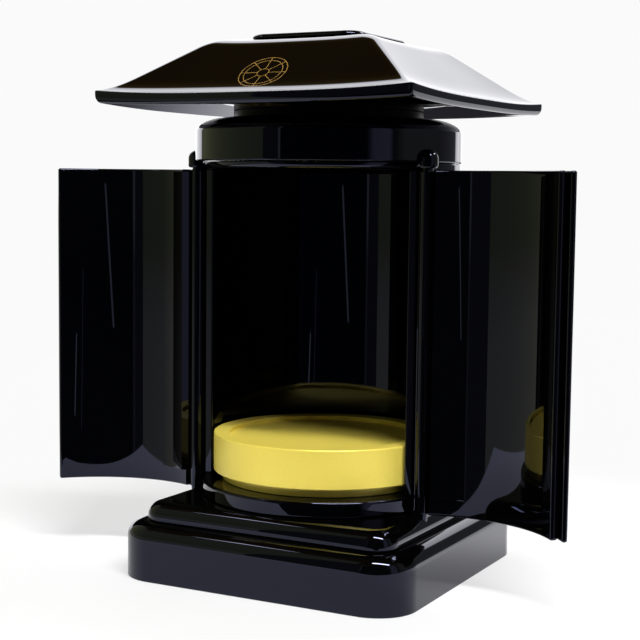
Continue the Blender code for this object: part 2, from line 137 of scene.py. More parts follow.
# Roof
ROOF_OVERHANG = 0.00575
EAVE_THICKNESS = 0.0053
EAVE_LIFT = 0.0024
UNDERSIDE_LIFT = 0.0015
EAVE_LEAN = 0.0023
EAVE_SQUARE = 0.0020
EAVE_CORNER = 0.0014
EAVE_ARRIS = 0.0005
CREST_CORNER = 0.0070
CREST_MARGIN = 0.0004
ROOF_RISE = 0.0279
BROW_INSET = 0.03546
BROW_DROP = 0.00492
FLAT_INSET = 0.0444
HOLLOW_INSET = 0.01775
HOLLOW_RISE = 0.0096
CREST_SLOPE = 0.11
EAVE_SLOPE = 0.10
SLAB_HALF = 0.0316
SLAB_CORNER = 0.0095
SLAB_THICKNESS = 0.0024
SLAB_ROUND = 0.0021
SLAB_SLOPE = 0.0036
FACE_SAG_POWER = 0.6
LIFT_POWER = 3
ARRIS_END_ANGLE = 80

# How finely round forms are divided, and how edges are eased, shaded and mitred
LATHE_STEPS = 256
ARC_STEP = 1.4
CORNER_STEPS = 24
ROUND_STEPS = 16
SMALL_STEPS = 7
SHOULDER_STEPS = 28
PIN_STEPS = 56
ROOF_SIDE_STEPS = 56
ROOF_CORNER_STEPS = 9
UNDERSIDE_STEPS = 8
BELLY_STEPS = 12
SLOPE_STEPS = 26
FACE_STEPS = 4
EASE = 0.00025
SHARP_ANGLE = 32
MITRE_LIMIT = 0.4

# Sizes that follow from the ones above
JAMB_INNER = CABINET_RADIUS - JAMB_WALL
STAND_RADIUS = JAMB_INNER - STAND_CLEARANCE
SHELL_INNER = CABINET_RADIUS + GAP
SHELL_OUTER = SHELL_INNER + SHELL_WALL
DOOR_INNER = CABINET_RADIUS + DOOR_CLEARANCE
DOOR_OUTER = DOOR_INNER + DOOR_WALL
HINGE_RADIUS = DOOR_OUTER + HINGE_STAND_OFF
STILE_RADIUS = HINGE_RADIUS - DOOR_INNER
HINGE_X = HINGE_RADIUS * math.cos(math.radians(HINGE_ANGLE))
HINGE_Y = -HINGE_RADIUS * math.sin(math.radians(HINGE_ANGLE))
STILE_SWEEP = math.degrees(math.asin((STILE_RADIUS + STILE_CLEARANCE) / HINGE_RADIUS))
SHELL_FRONT_ANGLE = HINGE_ANGLE - STILE_SWEEP
CAP_RADIUS = SHELL_OUTER + CAP_OVERHANG
HOLE_RADIUS = PIN_RADIUS + PIN_CLEARANCE
BOSS_RADIUS = HOLE_RADIUS + BOSS_WALL
STRIP_INNER = DOOR_OUTER + GAP
ROOF_HALF = PLINTH_HALF + ROOF_OVERHANG
HOLLOW_HALF = ROOF_HALF - HOLLOW_INSET
BROW_HALF = ROOF_HALF - BROW_INSET
CREST_HALF = SLAB_HALF + CREST_MARGIN
FLAT_HALF = ROOF_HALF - FLAT_INSET

FLOOR_BOTTOM = TIER_TOP + GAP
FLOOR_TOP = FLOOR_BOTTOM + FLOOR_THICKNESS
CEILING_BOTTOM = FLOOR_TOP + CABIN_HEIGHT
CEILING_RIM = CEILING_BOTTOM - CEILING_RIM_DROP
CEILING_TOP = CEILING_BOTTOM + CEILING_THICKNESS
CAP_BOTTOM = CEILING_TOP + GAP
CAP_SHOULDER_FOOT = CAP_BOTTOM + CAP_SIDE
CAP_TOP = CAP_SHOULDER_FOOT + CAP_SHOULDER
BOSS_BOTTOM = CAP_BOTTOM - BOSS_DROP
BOSS_TOP = CAP_BOTTOM + BOSS_RISE
DOOR_BOTTOM = TIER_TOP + GAP
DOOR_TOP = BOSS_BOTTOM - BOSS_CLEARANCE
UNDERSIDE = CAP_TOP + NECK_HEIGHT
EAVE_TOP = UNDERSIDE + EAVE_THICKNESS
CORNER_TOP = EAVE_TOP + EAVE_LIFT
HOLLOW_TOP = CORNER_TOP + HOLLOW_RISE
CREST_TOP = CORNER_TOP + ROOF_RISE
BROW_TOP = CREST_TOP - BROW_DROP
FLAT_TOP = CREST_TOP - CREST_SLOPE * (FLAT_HALF - CREST_HALF)
FACE_SLOPE = (BROW_TOP - HOLLOW_TOP) / (HOLLOW_HALF - BROW_HALF)


# Shapes

def polar(radius, angle):
    turn = math.radians(angle)
    return Vector((radius * math.cos(turn), -radius * math.sin(turn)))


def arc(centre, radius, start, end, steps):
    """Points of a circle in plan between two bearings in degrees, against the clock from +X."""
    points = []
    for index in range(steps + 1):
        turn = math.radians(start + (end - start) * index / steps)
        points.append(Vector((centre[0] + radius * math.cos(turn), centre[1] + radius * math.sin(turn))))
    return points


def steps_for(sweep):
    return max(2, round(abs(sweep) / ARC_STEP))


def quarter(radius, height, run, rise, start, end, steps=SMALL_STEPS):
    """Part of an ellipse in a turned profile, about a centre; 0 points outward and 90 upward."""
    points = []
    for index in range(steps + 1):
        turn = math.radians(start + (end - start) * index / steps)
        points.append((radius + run * math.cos(turn), height + rise * math.sin(turn)))
    return points


def eased(points):
    """The same line with a point just inside both ends of every long straight stretch."""
    line = [points[0]]
    for before, after in zip(points, points[1:]):
        first, last = Vector(before), Vector(after)
        span = last - first
        if span.length > 4 * EASE:
            line.append(tuple(first + span.normalized() * EASE))
            line.append(tuple(last - span.normalized() * EASE))
        line.append(tuple(after))
    return line


def finished(name, mesh):
    """Smooth between its edges, and in the scene."""
    mesh.name = name
    mesh.shade_smooth()
    mesh.set_sharp_from_angle(angle=math.radians(SHARP_ANGLE))
    piece = bpy.data.objects.new(name, mesh)
    bpy.context.scene.collection.objects.link(piece)
    return piece


def loft(name, rings):
    """Closed solid through rings of points; a ring of one point closes to a tip."""
    work = bmesh.new()
    rows = [[work.verts.new(spot) for spot in ring] for ring in rings]
    for low, high in zip(rows, rows[1:]):
        for index in range(max(len(low), len(high))):
            corners = (
                low[index % len(low)],
                low[(index + 1) % len(low)],
                high[(index + 1) % len(high)],
                high[index % len(high)],
            )
            work.faces.new(list(dict.fromkeys(corners)))
    for row in (rows[0], rows[-1]):
        if len(row) > 1:
            work.faces.new(row)
    bmesh.ops.recalc_face_normals(work, faces=work.faces)
    mesh = bpy.data.meshes.new(name)
    work.to_mesh(mesh)
    work.free()
    return finished(name, mesh)


def turned(name, profile, steps=LATHE_STEPS, centre=(0, 0)):
    """Turn a profile about an upright axis; a radius of 0 is a tip."""
    rings = []
    for radius, height in eased(profile):
        if radius == 0:
            rings.append([(centre[0], centre[1], height)])
            continue
        plan = arc(centre, radius, 0, 360, steps)[:-1]
        rings.append([(point.x, point.y, height) for point in plan])
    return loft(name, rings)


def square_ring(half, corner, height):
    ring = []
    run = half - corner
    for index in range(4):
        turn = Matrix.Rotation(math.radians(90 * index), 2)
        bend = arc((run, run), corner, 0, 90, CORNER_STEPS)
        spots = [Vector((half, run - EASE))] + bend + [Vector((run - EASE, half))]
        ring += [(*(turn @ spot), height) for spot in spots]
    return ring


def rounded_block(name, half, corner, bottom, top, rim, foot=ARRIS, slope=None):
    """Square block with upright round corners, a round upper edge and a slightly eased lower one.

    The upper edge is as deep as its rim, and reaches in as far unless it gets a slope.
    """
    run = slope or rim
    line = quarter(-foot, bottom + foot, foot, foot, -90, 0)
    line += quarter(-run, top - rim, run, rim, 0, 90, ROUND_STEPS)
    line.append((-run - EASE, top))
    line.insert(0, (-foot - EASE, bottom))
    return loft(name, [square_ring(half + inset, corner + inset, height) for inset, height in eased(line)])


def inset_outline(outline, distance):
    """Outline, listed against the clock, moved inward by a distance."""
    moved = []
    for index, point in enumerate(outline):
        before = (point - outline[index - 1]).normalized()
        after = (outline[(index + 1) % len(outline)] - point).normalized()
        inward = Vector((-before.y - after.y, before.x + after.x)).normalized()
        reach = max(MITRE_LIMIT, inward.dot(Vector((-after.y, after.x))))
        moved.append(point + inward * (distance / reach))
    return moved


def extruded(name, outline, bottom, top, rim, foot=None, foot_top=0.0):
    """Wall of a flat outline between two heights, with its upper and lower edges rounded.

    A foot outline, with as many points, takes its place below foot_top.
    """
    line = [(rim + EASE, bottom)]
    line += [(rim - run, height) for run, height in quarter(0, bottom + rim, rim, rim, -90, 0)]
    if foot:
        line += [(0, foot_top - EASE), (0, foot_top)]
    line += [(rim - run, height) for run, height in quarter(0, top - rim, rim, rim, 0, 90)]
    line.append((rim + EASE, top))
    rings = []
    for inset, height in eased(line):
        plan = foot if foot and height < foot_top else outline
        rings.append([(point.x, point.y, height) for point in inset_outline(plan, inset)])
    return loft(name, rings)


def rounded_end(inner, outer, angle, rounding, first):
    """End face of a curved wall, from the wall's one side to the other, with both corners rounded."""
    sides = (outer - rounding, inner + rounding) if first == 0 else (inner + rounding, outer - rounding)
    points = []
    for index, radius in enumerate(sides):
        start = first + 90 * index - angle
        points += arc(polar(radius, angle), rounding, start, start + 90, SMALL_STEPS)
    return points


def wall_outline(inner, outer, low, high, rounding):
    """Plan of a curved wall between two angles, against the clock."""
    low += math.degrees(rounding / inner)
    high -= math.degrees(rounding / inner)
    steps = steps_for(high - low)
    points = arc((0, 0), outer, -high, -low, steps)[1:-1]
    points += rounded_end(inner, outer, low, rounding, 0)
    points += arc((0, 0), inner, -low, -high, steps)[1:-1]
    points += rounded_end(inner, outer, high, rounding, 180)
    return points


def jamb_outline():
    """Plan of the right jamb, against the clock; its front end is square to the front."""
    rounding = JAMB_EDGE_ROUND
    depth = JAMB_FRONT - rounding
    low = JAMB_REAR_ANGLE + math.degrees(rounding / JAMB_INNER)
    corners = []
    for reach in (JAMB_INNER + rounding, CABINET_RADIUS - rounding):
        centre = (math.sqrt(reach ** 2 - depth ** 2), -depth)
        corners.append((centre, math.degrees(math.asin(depth / reach))))
    (inner, inner_angle), (outer, outer_angle) = corners
    points = arc((0, 0), CABINET_RADIUS, -outer_angle, -low, steps_for(outer_angle - low))[1:-1]
    points += rounded_end(JAMB_INNER, CABINET_RADIUS, low, rounding, 0)
    points += arc((0, 0), JAMB_INNER, -low, -inner_angle, steps_for(inner_angle - low))[1:-1]
    points += arc(inner, rounding, 180 - inner_angle, 270, SMALL_STEPS)
    points += arc(outer, rounding, 270, 360 - outer_angle, SMALL_STEPS)
    return points


def leaf_outline(extra):
    """Plan of the closed right leaf without its rod, against the clock.

    Its edge at the hinge is square to the front, just before the jamb's end, and the leaf grows thicker
    by some extra towards that edge on the inside.
    """
    end = DOOR_END_ANGLE - math.degrees(DOOR_EDGE_ROUND / DOOR_INNER)
    edge = JAMB_FRONT + HINGE_EDGE
    outer_angle = math.degrees(math.asin(edge / DOOR_OUTER))
    points = arc((0, 0), DOOR_OUTER, -end, -outer_angle, steps_for(end - outer_angle))[1:]
    corner = math.degrees(math.asin(edge / (DOOR_INNER - extra)))
    for index in range(EXTRA_STEPS):
        share = 1 - index / EXTRA_STEPS
        radius = DOOR_INNER - extra * share ** EXTRA_POWER
        points.append(polar(radius, EXTRA_END_ANGLE + (corner - EXTRA_END_ANGLE) * share))
    points += arc((0, 0), DOOR_INNER, -EXTRA_END_ANGLE, -end, steps_for(end - EXTRA_END_ANGLE))[:-1]
    points += rounded_end(DOOR_INNER, DOOR_OUTER, end, DOOR_EDGE_ROUND, 180)
    return points


def opened(outline, opening):
    """Outline of a closed right leaf, opened about the right hinge."""
    hinge = Vector((HINGE_X, HINGE_Y))
    turn = Matrix.Rotation(math.radians(opening), 2)
    return [hinge + turn @ (point - hinge) for point in outline]


def mirrored(outline):
    return [Vector((-point.x, point.y)) for point in reversed(outline)]


def combined(piece, tools, operation):
    """Cut tools away from a piece or join them to it, and remove them."""
    for tool in tools:
        boolean = piece.modifiers.new(tool.name, "BOOLEAN")
        boolean.object = tool
        boolean.operation = operation
        boolean.solver = "EXACT"
    graph = bpy.context.evaluated_depsgraph_get()
    mesh = bpy.data.meshes.new_from_object(piece.evaluated_get(graph))
    name = piece.name
    for thing in [piece, *tools]:
        bpy.data.objects.remove(thing)
    return finished(name, mesh)


def hole_tool(side, bottom, top):
    """Tool for the hole of a door's pin."""
    return turned("hole", [(HOLE_RADIUS, top), (HOLE_RADIUS, bottom)], PIN_STEPS, (side * HINGE_X, HINGE_Y))


def build_base():
    plinth = rounded_block("plinth", PLINTH_HALF, PLINTH_CORNER, 0, PLINTH_HEIGHT, PLINTH_ROUND)
    bottom = PLINTH_HEIGHT + GAP
    tier = rounded_block("upper_tier", TIER_HALF, TIER_CORNER, bottom, TIER_TOP, TIER_ROUND, EASE)
    hole_bottom = DOOR_BOTTOM - PIN_LENGTH - PIN_END_CLEARANCE
    holes = [hole_tool(side, hole_bottom, TIER_TOP + HOLE_RADIUS) for side in (-1, 1)]
    return {"base_plinth": plinth, "base_upper_tier": combined(tier, holes, "DIFFERENCE")}


def build_cabin():
    top, foot = FLOOR_TOP_ROUND, FLOOR_FOOT_ROUND
    profile = [(CABINET_RADIUS - 2 * top, FLOOR_TOP)]
    profile += quarter(CABINET_RADIUS - top, FLOOR_TOP - top, top, top, 90, 0, ROUND_STEPS)
    profile += quarter(CABINET_RADIUS - foot, FLOOR_BOTTOM + foot, foot, foot, 0, -90)
    floor = turned("floor_disc", profile + [(CABINET_RADIUS - 2 * foot, FLOOR_BOTTOM)])
    start, end = -180 - SHELL_FRONT_ANGLE, SHELL_FRONT_ANGLE
    plan = wall_outline(SHELL_INNER, SHELL_OUTER, start, end, SHELL_EDGE_ROUND)
    shell = extruded("back_shell", plan, FLOOR_BOTTOM, CEILING_TOP, SHELL_EDGE_ROUND)
    plan = jamb_outline()
    right = extruded("jamb_right", plan, FLOOR_TOP + GAP, CEILING_RIM - GAP, JAMB_RIM_ROUND)
    left = extruded("jamb_left", mirrored(plan), FLOOR_TOP + GAP, CEILING_RIM - GAP, JAMB_RIM_ROUND)
    drop = CEILING_RIM_ROUND
    profile = [(CABINET_RADIUS - EASE, CEILING_TOP)]
    profile += quarter(CABINET_RADIUS - drop, CEILING_RIM + drop, drop, drop, 0, -90, ROUND_STEPS)
    profile += [(JAMB_INNER, CEILING_RIM), (JAMB_INNER, CEILING_BOTTOM)]
    ceiling = turned("ceiling_disc", profile)
    return {
        "floor_plate": floor,
        "rear_shell": shell,
        "right_jamb": right,
        "left_jamb": left,
        "ceiling_plate": ceiling,
    }


def build_stand():
    bottom = FLOOR_TOP + GAP
    top = bottom + STAND_HEIGHT
    side_foot = bottom + STAND_FOOT_HEIGHT
    recess_radius = STAND_RADIUS - STAND_RIM_WIDTH
    foot_radius = STAND_RADIUS - STAND_FOOT_INSET
    rim = STAND_RIM_ROUND
    profile = [(recess_radius - rim, top - STAND_RECESS), (recess_radius, top - STAND_RECESS)]
    profile += quarter(recess_radius + rim, top - rim, rim, rim, 180, 90)
    profile += quarter(STAND_RADIUS - rim, top - rim, rim, rim, 90, 0)
    profile += quarter(STAND_RADIUS - rim, side_foot + rim, rim, rim, 0, -90)
    profile += [(foot_radius, side_foot), (foot_radius, bottom)]
    return {"gold_stand": turned("stand", profile)}


def build_cap():
    ledge = NECK_RADIUS + NECK_LEDGE
    foot = CAP_FOOT_ROUND
    profile = [(ledge - EASE, CAP_TOP)]
    profile += quarter(ledge, CAP_SHOULDER_FOOT, CAP_RADIUS - ledge, CAP_SHOULDER, 90, 0, SHOULDER_STEPS)
    profile += quarter(CAP_RADIUS - foot, CAP_BOTTOM + foot, foot, foot, 0, -90)
    profile += [(CAP_RADIUS - 2 * foot, CAP_BOTTOM)]
    cap = turned("cap", profile)
    upper_end = DOOR_TOP + PIN_LENGTH + PIN_END_CLEARANCE
    holes = [hole_tool(side, DOOR_TOP, upper_end) for side in (-1, 1)]
    made = {"cap_drum": combined(cap, holes, "DIFFERENCE")}
    foot = BOSS_FOOT_ROUND
    profile = [(0, BOSS_TOP)]
    profile += quarter(0, BOSS_TOP - BOSS_DOME, BOSS_RADIUS, BOSS_DOME, 90, 0, ROUND_STEPS)[1:]
    profile += quarter(BOSS_RADIUS - foot, BOSS_BOTTOM + foot, foot, foot, 0, -90)
    for side, label in ((-1, "left"), (1, "right")):
        boss = turned(f"boss_{label}", profile, PIN_STEPS, (side * HINGE_X, HINGE_Y))
        span = [(CAP_RADIUS + GAP, BOSS_TOP + GAP), (CAP_RADIUS + GAP, BOSS_BOTTOM - GAP)]
        tools = [turned("cap_side", span), hole_tool(side, DOOR_TOP, upper_end)]
        made[f"{label}_hinge_boss"] = combined(boss, tools, "DIFFERENCE")
    made["neck"] = turned("neck_disc", [(NECK_RADIUS, UNDERSIDE - GAP), (NECK_RADIUS, CAP_TOP + GAP)])
    return made


def hinge_rod(side):
    """Round rod at the hinge edge of a leaf, with a pin at both ends."""
    rim = ROD_RIM_ROUND
    profile = [(PIN_RADIUS, DOOR_TOP + PIN_LENGTH), (PIN_RADIUS, DOOR_TOP)]
    profile += quarter(ROD_RADIUS - rim, DOOR_TOP - rim, rim, rim, 90, 0)
    profile += quarter(ROD_RADIUS - rim, DOOR_BOTTOM + rim, rim, rim, 0, -90)
    profile += [(PIN_RADIUS, DOOR_BOTTOM), (PIN_RADIUS, DOOR_BOTTOM - PIN_LENGTH)]
    return turned("rod", profile, PIN_STEPS, (side * HINGE_X, HINGE_Y))


def build_doors():
    """The leaves are thick at the hinge only above the floor plate, which they pass when they close."""
    foot_top = FLOOR_TOP + FLOOR_CLEARANCE
    made = {}
    for side, label, opening in ((-1, "left", LEFT_OPENING), (1, "right", RIGHT_OPENING)):
        plans = [opened(leaf_outline(extra), opening) for extra in (HINGE_EDGE_EXTRA, HINGE_FOOT_EXTRA)]
        plan, foot = plans if side > 0 else map(mirrored, plans)
        leaf = extruded(f"leaf_{label}", plan, DOOR_BOTTOM, DOOR_TOP, DOOR_RIM_ROUND, foot, foot_top)
        made[f"door_{label}"] = combined(leaf, [hinge_rod(side)], "UNION")
    low = DOOR_END_ANGLE - math.degrees(STRIP_SEAT / STRIP_INNER)
    high = DOOR_END_ANGLE + math.degrees(STRIP_LAP / STRIP_INNER)
    plan = wall_outline(STRIP_INNER, STRIP_INNER + STRIP_THICKNESS, low, high, STRIP_EDGE_ROUND)
    strip = extruded("joint_strip", opened(plan, RIGHT_OPENING), DOOR_BOTTOM, DOOR_TOP, DOOR_RIM_ROUND)
    made["meeting_strip"] = strip
    return made


def blend(share, start, end, start_slope, end_slope, length):
    """Height on a curve that leaves and arrives with the given slopes."""
    square = share * share
    cube = square * share
    height = (2 * cube - 3 * square + 1) * start + (3 * square - 2 * cube) * end
    return height + length * ((cube - 2 * square + share) * start_slope + (cube - square) * end_slope)


def hip_stations():
    """Half widths and heights down the hip, from the eave's upper edge to the crest."""
    stretches = (
        (ROOF_HALF, CORNER_TOP, EAVE_SLOPE, HOLLOW_HALF, HOLLOW_TOP, FACE_SLOPE, SLOPE_STEPS),
        (HOLLOW_HALF, HOLLOW_TOP, FACE_SLOPE, BROW_HALF, BROW_TOP, FACE_SLOPE, FACE_STEPS),
        (BROW_HALF, BROW_TOP, FACE_SLOPE, FLAT_HALF, FLAT_TOP, CREST_SLOPE, SLOPE_STEPS),
        (FLAT_HALF, FLAT_TOP, CREST_SLOPE, CREST_HALF, CREST_TOP, CREST_SLOPE, FACE_STEPS),
    )
    stations = []
    for start, low, start_slope, end, high, end_slope, steps in stretches:
        for index in range(1, steps + 1):
            share = index / steps
            height = blend(share, low, high, start_slope, end_slope, start - end)
            stations.append((start + (end - start) * share, height))
    return stations


def roof_ring(half, corner, height):
    """Square ring with rounded corners; height gives z from the place along a side, 1 at a corner."""
    ring = []
    run = half - corner
    for quarter_turn in range(4):
        side = [(half, run * (2 * index / ROOF_SIDE_STEPS - 1)) for index in range(ROOF_SIDE_STEPS)]
        bend = arc((run, run), corner, 0, 90, ROOF_CORNER_STEPS)[:-1]
        cosine, sine = ((1, 0), (0, 1), (-1, 0), (0, -1))[quarter_turn]
        for x, y in side + [(point.x, point.y) for point in bend]:
            along = min(abs(x), abs(y)) / half
            ring.append((x * cosine - y * sine, x * sine + y * cosine, height(along)))
    return ring


def roof_rings():
    """Rings from the middle of the underside out, up the eave and in over the slopes to the crest."""
    rings = []
    foot_half = ROOF_HALF - EAVE_LEAN
    for index in range(UNDERSIDE_STEPS + 1):
        share = index / UNDERSIDE_STEPS
        lift = UNDERSIDE_LIFT * share ** 2
        half = NECK_RADIUS + (foot_half - NECK_RADIUS) * share
        rings.append(roof_ring(half, EAVE_CORNER, lambda along: UNDERSIDE + lift * along ** LIFT_POWER))
    for index in range(1, BELLY_STEPS + 1):
        turn = math.radians(90 * index / BELLY_STEPS)

        def belly(along):
            low = UNDERSIDE + UNDERSIDE_LIFT * along ** LIFT_POWER
            square_foot = EAVE_TOP + EAVE_LIFT * along ** LIFT_POWER - EAVE_SQUARE
            return square_foot + (low - square_foot) * math.cos(turn)

        rings.append(roof_ring(foot_half + EAVE_LEAN * math.sin(turn), EAVE_CORNER, belly))
    arris = quarter(ROOF_HALF - EAVE_ARRIS, EAVE_TOP - EAVE_ARRIS, EAVE_ARRIS, EAVE_ARRIS, 0, ARRIS_END_ANGLE)
    for half, top in arris:
        rings.append(roof_ring(half, EAVE_CORNER, lambda along: top + EAVE_LIFT * along ** LIFT_POWER))
    for half, hip in hip_stations():
        sag = EAVE_LIFT * ((half - CREST_HALF) / (ROOF_HALF - CREST_HALF)) ** FACE_SAG_POWER
        inward = (ROOF_HALF - half) / (ROOF_HALF - CREST_HALF)
        corner = EAVE_CORNER + (CREST_CORNER - EAVE_CORNER) * inward
        rings.append(roof_ring(half, corner, lambda along: hip - sag * (1 - along ** LIFT_POWER)))
    return rings


def build_roof():
    roof = loft("curved_roof", roof_rings())
    bottom = CREST_TOP + GAP
    slab = rounded_block(
        "top_slab", SLAB_HALF, SLAB_CORNER, bottom, bottom + SLAB_THICKNESS, SLAB_ROUND, EASE, SLAB_SLOPE
    )
    return {"roof": roof, "roof_top_slab": slab}


# Materials; a pair holds the two ends of a range

LACQUER_IOR = 1.45
LACQUER_SPECULAR = 0.5
LACQUER_TINT = (0.62, 0.66, 1.0, 1)
DULL_ROUGHNESS = 0.30
DULL_SPECULAR = 0.07
BLACK_PATCHES = 28.0
BLACKS = ((0.0003, 0.0003, 0.0004, 1), (0.0009, 0.0009, 0.0009, 1))
WIPE_STRETCH = (40.0, 40.0, 7.0)
WIPE_SPREAD = (0.35, 0.75)
WIPE_ROUGHNESS = (0.012, 0.045)
DUST_CELLS = 210.0
DUST_RADIUS = (0.045, 0.02)
DUST_CHOICE = (0.93, 0.94)
DUST_FACING = (0.2, 0.7)
DUST_SHARE = (0.04, 0.5)
DUST_COLOUR = (0.20, 0.195, 0.18, 1)
DUST_ROUGHNESS = 0.5
# Scale, detail and depth of the waves
WAVES = ((55.0, 1.0, 0.000012), (420.0, 2.0, 0.0000009))
PIECE_SHIFT = 0.37
ROOF_SHIFT = 0.9

GOLD_PATCHES = 35.0
GOLDS = ((0.92, 0.74, 0.115, 1), (0.97, 0.81, 0.150, 1))
GOLD_METALLIC = 0.25
GOLD_ROUGHNESS = (0.34, 0.46)
GOLD_GRAIN = 2600.0
GRAIN_SPREAD = (0.3, 0.75)
GRAIN_SHARE = 0.35
GRAIN_COLOUR = (0.74, 0.54, 0.06, 1)
GRAIN_DEPTH = 0.000010
RUB_STRETCH = (18.0, 18.0, 90.0)
RUB_SPREAD = (0.3, 0.7)

EMBLEM_Y = -0.0681
EMBLEM_FORESHORTENING = 0.802
EMBLEM_RADIUS = 0.0122
EMBLEM_HUB = 0.0030
EMBLEM_LINE = 0.00032
EMBLEM_SPOKES = 8
# Radius and width of the rings
EMBLEM_RINGS = ((EMBLEM_RADIUS, 0.00036), (0.0098, EMBLEM_LINE), (EMBLEM_HUB, EMBLEM_LINE))
EMBLEM_FRONT = (-0.02, -0.04)
EMBLEM_WEAR = 700.0
EMBLEM_WEAR_SPREAD = (0.32, 0.5)
EMBLEM_THINNEST = 0.35
EMBLEM_PATCHES = 160.0
EMBLEM_GOLDS = ((0.34, 0.18, 0.025, 1), (0.56, 0.34, 0.06, 1))
EMBLEM_ROUGHNESS = (0.42, 0.42, 0.42, 1)
EMBLEM_METALLIC = 0.6
LINE_SOFTNESS = 0.00009
SPOKE_END = 0.0002


class Graph:
    """Adds nodes to a material or to the world and joins them."""

    def __init__(self, owner):
        owner.use_nodes = True
        self.tree = owner.node_tree
        self.tree.nodes.clear()

    def add(self, kind, inputs=None, **settings):
        node = self.tree.nodes.new(kind)
        for name, value in settings.items():
            setattr(node, name, value)
        for name, value in (inputs or {}).items():
            self.feed(node.inputs[name], value)
        return node

    def feed(self, socket, value):
        if isinstance(value, bpy.types.NodeSocket):
            self.tree.links.new(value, socket)
        else:
            socket.default_value = value

    def math(self, operation, first, second=0.0):
        return self.add("ShaderNodeMath", {0: first, 1: second}, operation=operation).outputs[0]

    def span(self, value, low, high, to_low=0.0, to_high=1.0, smooth=True):
        """Map a value between two limits to another range."""
        limits = {"Value": value, "From Min": low, "From Max": high, "To Min": to_low, "To Max": to_high}
        kind = "SMOOTHSTEP" if smooth else "LINEAR"
        return self.add("ShaderNodeMapRange", limits, interpolation_type=kind).outputs[0]

    def mix(self, share, first, second):
        """Mix two colours, which are inputs 6 and 7 and output 2 of the node."""
        node = self.add("ShaderNodeMix", data_type="RGBA")
        for index, value in ((0, share), (6, first), (7, second)):
            self.feed(node.inputs[index], value)
        return node.outputs[2]

    def noise(self, where, scale, detail=3.0, roughness=0.5):
        inputs = {"Vector": where, "Scale": scale, "Detail": detail, "Roughness": roughness}
        return self.add("ShaderNodeTexNoise", inputs).outputs["Fac"]

    def place(self):
        return self.add("ShaderNodeTexCoord").outputs["Object"]

    def stretched(self, where, scale):
        return self.add("ShaderNodeMapping", {"Vector": where, "Scale": scale}).outputs[0]

    def bump(self, height, distance, before=None):
        inputs = {"Height": height, "Distance": distance, "Strength": 1.0}
        if before is not None:
            inputs["Normal"] = before
        return self.add("ShaderNodeBump", inputs).outputs[0]


def line_at(graph, value, centre, width):
    """1 where a distance is within half a width of a centre, with soft edges."""
    off = graph.math("ABSOLUTE", graph.math("SUBTRACT", value, centre))
    return graph.span(off, 0.5 * width + LINE_SOFTNESS, 0.5 * width - LINE_SOFTNESS)


def wheel_mask(graph, where):
    """Gold-line wheel with eight spokes, painted on the front slope."""
    parts = graph.add("ShaderNodeSeparateXYZ", {"Vector": where})
    across = parts.outputs["X"]
    up = graph.math("SUBTRACT", parts.outputs["Y"], EMBLEM_Y)
    up = graph.math("MULTIPLY", up, 1 / EMBLEM_FORESHORTENING)
    squares = [graph.math("MULTIPLY", offset, offset) for offset in (across, up)]
    radius = graph.math("SQRT", graph.math("ADD", *squares))
    angle = graph.math("ARCTAN2", up, across)
    folded = graph.math("PINGPONG", angle, math.pi / EMBLEM_SPOKES)
    aside = graph.math("MULTIPLY", radius, graph.math("SINE", folded))
    inside = graph.span(radius, EMBLEM_HUB, EMBLEM_HUB + SPOKE_END)
    outside = graph.span(radius, EMBLEM_RADIUS, EMBLEM_RADIUS - SPOKE_END)
    spokes = line_at(graph, aside, 0.0, EMBLEM_LINE)
    mask = graph.math("MULTIPLY", spokes, graph.math("MULTIPLY", inside, outside))
    for ring, width in EMBLEM_RINGS:
        mask = graph.math("MAXIMUM", mask, line_at(graph, radius, ring, width))
    front = graph.span(parts.outputs["Y"], *EMBLEM_FRONT)
    return graph.math("MULTIPLY", mask, front)


